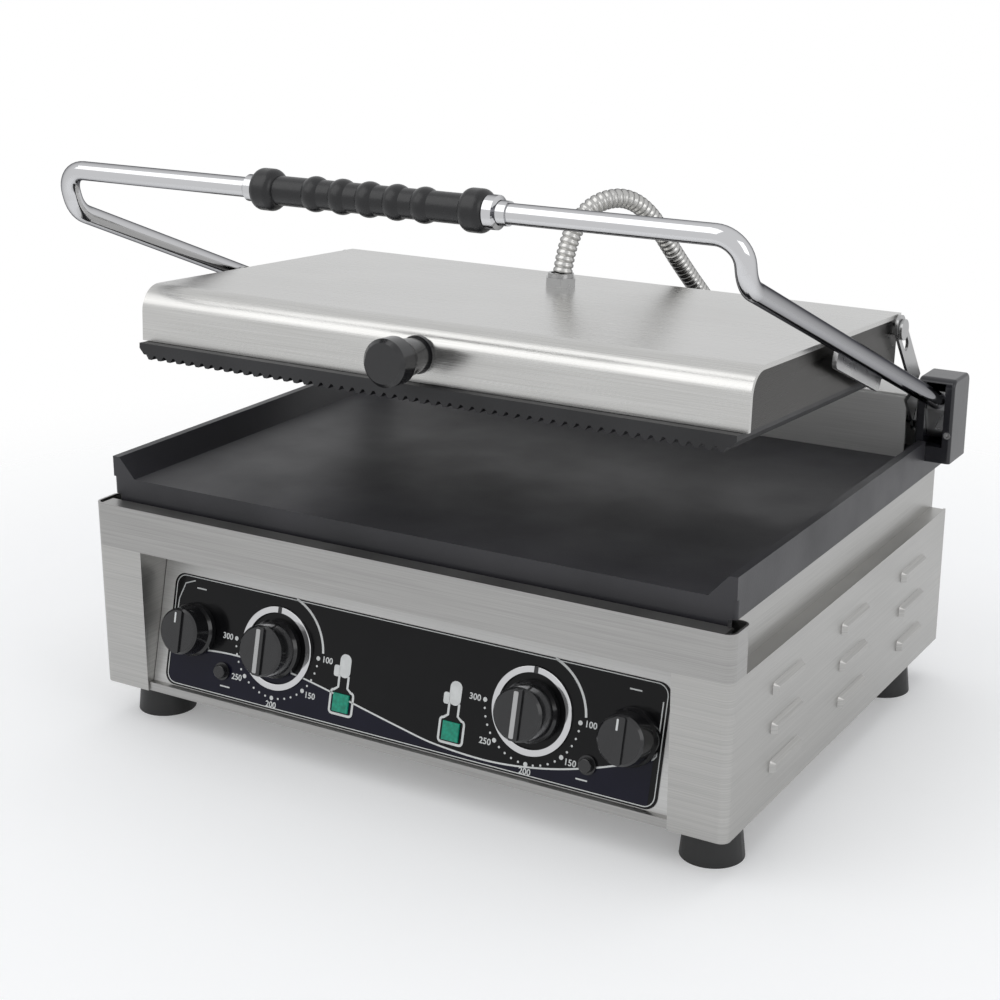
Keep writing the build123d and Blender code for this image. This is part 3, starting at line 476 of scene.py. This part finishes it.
def dial_tree():
    """Geometry Nodes: dots on an arc, every fifth one larger."""
    tree = bpy.data.node_groups.new("dial_dots", "GeometryNodeTree")
    face = tree.interface
    face.new_socket("Geometry", in_out="INPUT", socket_type="NodeSocketGeometry")
    for name, value in (("Radius", 0.0335), ("Small Dot", 0.00075), ("Large Dot", 0.0015)):
        socket = face.new_socket(name, in_out="INPUT", socket_type="NodeSocketFloat")
        socket.default_value = value
    socket = face.new_socket("Finish", in_out="INPUT", socket_type="NodeSocketMaterial")
    face.new_socket("Geometry", in_out="OUTPUT", socket_type="NodeSocketGeometry")
    add, link = tree.nodes.new, tree.links.new
    given, result = add("NodeGroupInput"), add("NodeGroupOutput")
    line = add("GeometryNodeCurveArc")
    line.inputs["Resolution"].default_value = 21
    line.inputs["Start Angle"].default_value = 0
    line.inputs["Sweep Angle"].default_value = -pi
    link(given.outputs["Radius"], line.inputs["Radius"])
    points = add("GeometryNodeCurveToPoints")
    points.mode = "EVALUATED"
    link(line.outputs["Curve"], points.inputs["Curve"])
    index = add("GeometryNodeInputIndex")
    rest = add("ShaderNodeMath")
    rest.operation = "MODULO"
    rest.inputs[1].default_value = 5
    link(index.outputs["Index"], rest.inputs[0])
    small = add("ShaderNodeMath")
    small.operation = "GREATER_THAN"
    small.inputs[1].default_value = 0.5
    link(rest.outputs[0], small.inputs[0])
    size = add("ShaderNodeMix")
    link(small.outputs[0], size.inputs["Factor"])
    link(given.outputs["Large Dot"], size.inputs["A"])
    link(given.outputs["Small Dot"], size.inputs["B"])
    dot = add("GeometryNodeMeshCylinder")
    dot.inputs["Vertices"].default_value = 12
    dot.inputs["Radius"].default_value = 1
    dot.inputs["Depth"].default_value = 0.00006
    place = add("GeometryNodeInstanceOnPoints")
    link(points.outputs["Points"], place.inputs["Points"])
    link(dot.outputs["Mesh"], place.inputs["Instance"])
    joined = add("ShaderNodeCombineXYZ")
    link(size.outputs["Result"], joined.inputs[0])
    link(size.outputs["Result"], joined.inputs[1])
    joined.inputs[2].default_value = 1
    link(joined.outputs[0], place.inputs["Scale"])
    real = add("GeometryNodeRealizeInstances")
    link(place.outputs["Instances"], real.inputs["Geometry"])
    dress = add("GeometryNodeSetMaterial")
    link(real.outputs["Geometry"], dress.inputs["Geometry"])
    link(given.outputs["Finish"], dress.inputs["Material"])
    link(dress.outputs["Geometry"], result.inputs["Geometry"])
    return tree


def panel_matrix(x, v, lift):
    """Lays a flat shape on the panel."""
    turn = Matrix((Vector((1, 0, 0)), PANEL_UP, PANEL_OUT)).transposed().to_4x4()
    return Matrix.Translation(on_panel(x, v, lift)) @ turn


class GRILL_OT_dials(bpy.types.Operator):
    """Print each thermostat's row of dots and its numbers"""

    bl_idname = "grill.dials"
    bl_label = "Dials"

    def execute(self, context):
        panel = context.scene.grill_panel
        tree = dial_tree()
        sockets = {s.name: s.identifier for s in tree.interface.items_tree if s.in_out == "INPUT"}
        for side, x in (("left", -THERMOSTAT_X), ("right", THERMOSTAT_X)):
            holder = bpy.data.objects.new("dial_maker", bpy.data.meshes.new("dial_maker"))
            context.scene.collection.objects.link(holder)
            maker = holder.modifiers.new("dots", "NODES")
            maker.node_group = tree
            maker[sockets["Radius"]] = panel.dial_radius
            maker[sockets["Finish"]] = FINISHES["print_white"]
            seen = holder.evaluated_get(context.evaluated_depsgraph_get())
            mesh = bpy.data.meshes.new_from_object(seen)
            mesh.name = f"dial_dots_{side}"
            mesh.transform(panel_matrix(x, THERMOSTAT_V, DIAL_LIFT))
            bpy.data.objects.remove(holder)
            add_piece(f"dial_dots_{side}", mesh, "print_white", "root")
            build = bmesh.new()
            for number, angle, align in NUMBERS:
                text = bpy.data.curves.new("number", "FONT")
                text.body = number
                text.size = panel.number_height * 1.35
                text.extrude = 0.00003
                text.offset = 0.0001
                text.align_x = align
                text.align_y = "CENTER"
                text.resolution_u = 3
                maker = bpy.data.objects.new("number", text)
                context.scene.collection.objects.link(maker)
                shape = bpy.data.meshes.new_from_object(maker.evaluated_get(context.evaluated_depsgraph_get()))
                reach = panel.dial_radius / MM + (4.6 if align == "CENTER" else 3)
                along, up = reach * cos(radians(angle)), reach * sin(radians(angle))
                shape.transform(panel_matrix(x + along, THERMOSTAT_V + up, DIAL_LIFT))
                build.from_mesh(shape)
                bpy.data.objects.remove(maker)
            mesh = bpy.data.meshes.new(f"dial_numbers_{side}")
            build.to_mesh(mesh)
            build.free()
            add_piece(f"dial_numbers_{side}", mesh, "print_white", "root")
        return {"FINISHED"}


class GRILL_OT_knob_marks(bpy.types.Operator):
    """Mark the thermostats' knobs and rings and the switches' knobs"""

    bl_idname = "grill.knob_marks"
    bl_label = "Knob marks"

    def execute(self, context):
        for side, sign in (("left", -1), ("right", 1)):
            x, v = sign * THERMOSTAT_X, THERMOSTAT_V
            # A bright metal strip on the left half of the knob's bar: the bar's silver face, with the highlight on
            # that side painted in.
            bar = rounded(x - 2.6, x + 0.6, v - 14.6, v + 14.6, 0.8)
            mesh = flat_shapes("bar", [bar], THERMOSTAT_TOP, 0.25)
            add_piece(f"thermostat_pointer_{side}", mesh, "bright_zinc", f"thermostat_knob_{side}_body")
            notch = rounded(x - 1.4, x + 1.4, v + 23.7, v + 27.8, 0.3)
            mesh = flat_shapes("notch", [notch], RING_TOP, 0.1)
            add_piece(f"dial_notch_{side}", mesh, "knob_plastic", "root")
            x, v = sign * SWITCH_X, SWITCH_V
            mark = rounded(x - 2.4, x - 1.1, v + 6, v + 13, 0.4)
            mesh = flat_shapes("mark", [mark], SWITCH_TOP, 0.12)
            add_piece(f"switch_index_{side}", mesh, "print_white", f"switch_knob_{side}_body")
        return {"FINISHED"}


# The metal hose's route, from inside the lid to inside the gland, in millimetres
HOSE_ROUTE = [
    (-8, 49.96, 269.94),
    (-8, 52.39, 310.87),
    (6, 68, 345),
    (28, 100, 345),
    (42, 138, 292),
    (54, 182, 246),
    (60, 200, 196),
    (60, 200, 120),
]

# How far a rib's shoulders lie below its crest
SHOULDER = 0.0001
# The hose is cut in two at this share of its ribs, from the lid
CUT_SHARE = 0.45


def hose_line():
    """Points along the hose's middle, read from a NURBS spline through the route."""
    curve = bpy.data.curves.new("hose_route", "CURVE")
    curve.dimensions = "3D"
    spline = curve.splines.new("NURBS")
    spline.points.add(len(HOSE_ROUTE) - 1)
    for point, place in zip(spline.points, HOSE_ROUTE):
        point.co = (*(c * MM for c in place), 1)
    spline.order_u = 3
    spline.use_endpoint_u = True
    spline.resolution_u = 64
    maker = bpy.data.objects.new("hose_route", curve)
    bpy.context.scene.collection.objects.link(maker)
    line = bpy.data.meshes.new_from_object(maker.evaluated_get(bpy.context.evaluated_depsgraph_get()))
    points = [v.co.copy() for v in line.vertices]
    bpy.data.objects.remove(maker)
    return points


def walk(points, distances):
    """The point at each rising distance along the line."""
    found = []
    i, gone = 0, 0.0
    for distance in distances:
        step = (points[i + 1] - points[i]).length
        while gone + step < distance and i < len(points) - 2:
            gone += step
            i += 1
            step = (points[i + 1] - points[i]).length
        found.append(points[i].lerp(points[i + 1], min((distance - gone) / step, 1)))
    return found


def hose_mesh(name, middles, radii, sides=20):
    """A ribbed tube through the middles, closed at both ends."""
    build = bmesh.new()
    across = Vector((0, 0, 1))
    rings = []
    for i, (middle, radius) in enumerate(zip(middles, radii)):
        run = (middles[min(i + 1, len(middles) - 1)] - middles[max(i - 1, 0)]).normalized()
        if i == 0:
            across = run.orthogonal().normalized()
        across = (across - run * across.dot(run)).normalized()
        other = run.cross(across)
        turns = [2 * pi * k / sides for k in range(sides)]
        rings.append([build.verts.new(middle + (across * cos(t) + other * sin(t)) * radius) for t in turns])
    for low, high in zip(rings, rings[1:]):
        for k in range(sides):
            n = (k + 1) % sides
            build.faces.new((low[k], low[n], high[n], high[k]))
    build.faces.new(rings[0][::-1])
    build.faces.new(rings[-1])
    bmesh.ops.recalc_face_normals(build, faces=build.faces)
    mesh = bpy.data.meshes.new(name)
    build.to_mesh(mesh)
    build.free()
    return mesh


class GRILL_OT_conduit(bpy.types.Operator):
    """Make the ribbed metal hose, which bends between the housing, the handle and the lid"""

    bl_idname = "grill.conduit"
    bl_label = "Conduit"

    def execute(self, context):
        hose = context.scene.grill_hose
        points = hose_line()
        length = sum((b - a).length for a, b in zip(points, points[1:]))
        plain = hose.diameter
        pitch = (length - 2 * plain) / hose.ribs
        crest, valley = hose.diameter / 2, hose.diameter / 2 - hose.rib_depth
        shoulder = crest - SHOULDER
        rib_rings = ((0, valley), (0.2, shoulder), (0.42, crest), (0.64, shoulder), (0.86, valley))
        stations = [(0, crest), (plain * 0.95, crest)]
        for rib in range(hose.ribs):
            stations += [(plain + (rib + share) * pitch, radius) for share, radius in rib_rings]
        stations += [(length - plain * 0.95, crest), (length, crest)]
        middles = walk(points, [distance for distance, _ in stations])
        radii = [radius for _, radius in stations]
        cut = 2 + len(rib_rings) * int(hose.ribs * CUT_SHARE)
        for name, part in (("metal_hose_upper", slice(0, cut + 1)), ("metal_hose_lower", slice(cut, None))):
            mesh = hose_mesh(name, middles[part], radii[part])
            for face in mesh.polygons:
                face.use_smooth = len(face.vertices) == 4
            mesh.materials.append(FINISHES["hose_steel"])
            piece = bpy.data.objects.new(name, mesh)
            context.scene.collection.objects.link(piece)
            if name.endswith("upper"):
                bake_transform(piece)
                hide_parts("conduit")
            else:
                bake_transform(piece)
        return {"FINISHED"}


class GRILL_OT_stage(bpy.types.Operator):
    """Floor, soft lights and the camera"""

    bl_idname = "grill.stage"
    bl_label = "Stage"

    def execute(self, context):
        stage = context.scene.grill_stage
        material, tree, shader = new_finish("floor_white")
        shader.inputs["Base Color"].default_value = (0.86, 0.86, 0.86, 1)
        shader.inputs["Roughness"].default_value = 0.9
        # The floor fades out, so that the white background closes round it
        place = tree.nodes.new("ShaderNodeTexCoord")
        distance = tree.nodes.new("ShaderNodeVectorMath")
        distance.operation = "LENGTH"
        tree.links.new(place.outputs["Object"], distance.inputs[0])
        fade = tree.nodes.new("ShaderNodeMapRange")
        fade.interpolation_type = "SMOOTHSTEP"
        fade.inputs["From Min"].default_value = 0.4
        fade.inputs["From Max"].default_value = 0.95
        tree.links.new(distance.outputs["Value"], fade.inputs["Value"])
        clear = tree.nodes.new("ShaderNodeBsdfTransparent")
        blend = tree.nodes.new("ShaderNodeMixShader")
        tree.links.new(fade.outputs["Result"], blend.inputs[0])
        glow = tree.nodes.new("ShaderNodeEmission")
        rays = tree.nodes.new("ShaderNodeLightPath")
        seen = tree.nodes.new("ShaderNodeMath")
        seen.operation = "MAXIMUM"
        tree.links.new(rays.outputs["Is Camera Ray"], seen.inputs[0])
        tree.links.new(rays.outputs["Is Glossy Ray"], seen.inputs[1])
        amount = tree.nodes.new("ShaderNodeMath")
        amount.operation = "MULTIPLY"
        amount.inputs[1].default_value = 0.2
        tree.links.new(seen.outputs[0], amount.inputs[0])
        tree.links.new(amount.outputs[0], glow.inputs["Strength"])
        both = tree.nodes.new("ShaderNodeAddShader")
        tree.links.new(shader.outputs[0], both.inputs[0])
        tree.links.new(glow.outputs[0], both.inputs[1])
        tree.links.new(both.outputs[0], blend.inputs[1])
        tree.links.new(clear.outputs[0], blend.inputs[2])
        tree.links.new(blend.outputs[0], tree.nodes["Material Output"].inputs["Surface"])
        floor = bpy.data.meshes.new("studio_floor")
        reach = 9
        corners = [(-reach, -reach, 0), (reach, -reach, 0), (reach, reach, 0), (-reach, reach, 0)]
        floor.from_pydata(corners, [], [(0, 1, 2, 3)])
        floor.materials.append(material)
        floor = bpy.data.objects.new("studio_floor", floor)
        context.scene.collection.objects.link(floor)

        world = bpy.data.worlds.new("studio")
        context.scene.world = world
        world.use_nodes = True
        tree = world.node_tree
        light = tree.nodes["Background"]
        light.inputs["Color"].default_value = (0.9, 0.92, 0.95, 1)
        light.inputs["Strength"].default_value = 0.6
        white = tree.nodes.new("ShaderNodeBackground")
        white.inputs["Color"].default_value = (1, 1, 1, 1)
        rays = tree.nodes.new("ShaderNodeLightPath")
        mix = tree.nodes.new("ShaderNodeMixShader")
        seen = tree.nodes.new("ShaderNodeMath")
        seen.operation = "MAXIMUM"
        tree.links.new(rays.outputs["Is Camera Ray"], seen.inputs[0])
        metal = tree.nodes.new("ShaderNodeMath")
        metal.operation = "MULTIPLY_ADD"
        metal.inputs[1].default_value = 0.6
        tree.links.new(rays.outputs["Is Glossy Ray"], metal.inputs[0])
        tree.links.new(rays.outputs["Is Transmission Ray"], metal.inputs[2])
        tree.links.new(metal.outputs[0], seen.inputs[1])
        tree.links.new(seen.outputs[0], mix.inputs[0])
        tree.links.new(light.outputs[0], mix.inputs[1])
        tree.links.new(white.outputs[0], mix.inputs[2])
        tree.links.new(mix.outputs[0], tree.nodes["World Output"].inputs["Surface"])

        for name, place, size, power in (
            ("key_light", (-0.9, -1.4, 1.9), 2.1, stage.key_power),
            ("fill_light", (1.9, -0.6, 1.1), 1.2, stage.fill_power),
            ("top_light", (0.1, 0.5, 2.2), 1.6, stage.key_power * 0.8),
        ):
            lamp = bpy.data.lights.new(name, "AREA")
            lamp.size = size
            lamp.energy = power
            lamp = bpy.data.objects.new(name, lamp)
            lamp.location = place
            lamp.visible_glossy = name != "top_light"
            lamp.rotation_euler = (Vector((0, 0, 0.15)) - Vector(place)).to_track_quat("-Z", "Y").to_euler()
            context.scene.collection.objects.link(lamp)

        camera = bpy.data.cameras.new("camera")
        camera.lens = stage.lens
        camera.sensor_width = 36
        camera = bpy.data.objects.new("camera", camera)
        toward = Vector((-0.4877, 0.8158, -0.3107)).normalized()
        right = toward.cross(Vector((0, 0, 1))).normalized()
        up = right.cross(toward)
        turn = Matrix((right, up, -toward)).transposed().to_4x4()
        camera.matrix_world = Matrix.Translation(Vector((0.6325, -1.1023, 0.5611))) @ turn
        context.scene.collection.objects.link(camera)
        context.scene.camera = camera
        context.scene.view_settings.view_transform = "Standard"
        return {"FINISHED"}


class GRILL_PT_panel(bpy.types.Panel):
    """Everything that dresses the grill"""

    bl_idname = "GRILL_PT_panel"
    bl_label = "Contact Grill"
    bl_space_type = "VIEW_3D"
    bl_region_type = "UI"
    bl_category = "Grill"

    def draw(self, context):
        for settings in (context.scene.grill_panel, context.scene.grill_hose, context.scene.grill_stage):
            for name in settings.bl_rna.properties.keys():
                if name not in ("rna_type", "name"):
                    self.layout.prop(settings, name)
        for operator in OPERATORS:
            self.layout.operator(operator.bl_idname)


OPERATORS = (
    GRILL_OT_finishes,
    GRILL_OT_panel_print,
    GRILL_OT_dials,
    GRILL_OT_knob_marks,
    GRILL_OT_conduit,
    GRILL_OT_stage,
)
CLASSES = (GrillPanelSettings, GrillHoseSettings, GrillStageSettings, *OPERATORS, GRILL_PT_panel)


def register():
    for item in CLASSES:
        bpy.utils.register_class(item)
    bpy.types.Scene.grill_panel = bpy.props.PointerProperty(type=GrillPanelSettings)
    bpy.types.Scene.grill_hose = bpy.props.PointerProperty(type=GrillHoseSettings)
    bpy.types.Scene.grill_stage = bpy.props.PointerProperty(type=GrillStageSettings)


def unregister():
    del bpy.types.Scene.grill_stage
    del bpy.types.Scene.grill_hose
    del bpy.types.Scene.grill_panel
    for item in reversed(CLASSES):
        bpy.utils.unregister_class(item)


def main():
    register()
    bpy.ops.grill.finishes()
    bpy.ops.grill.panel_print()
    bpy.ops.grill.dials()
    bpy.ops.grill.knob_marks()
    bpy.ops.grill.conduit()
    bpy.ops.grill.stage()


if __name__ == "__main__":
    main()
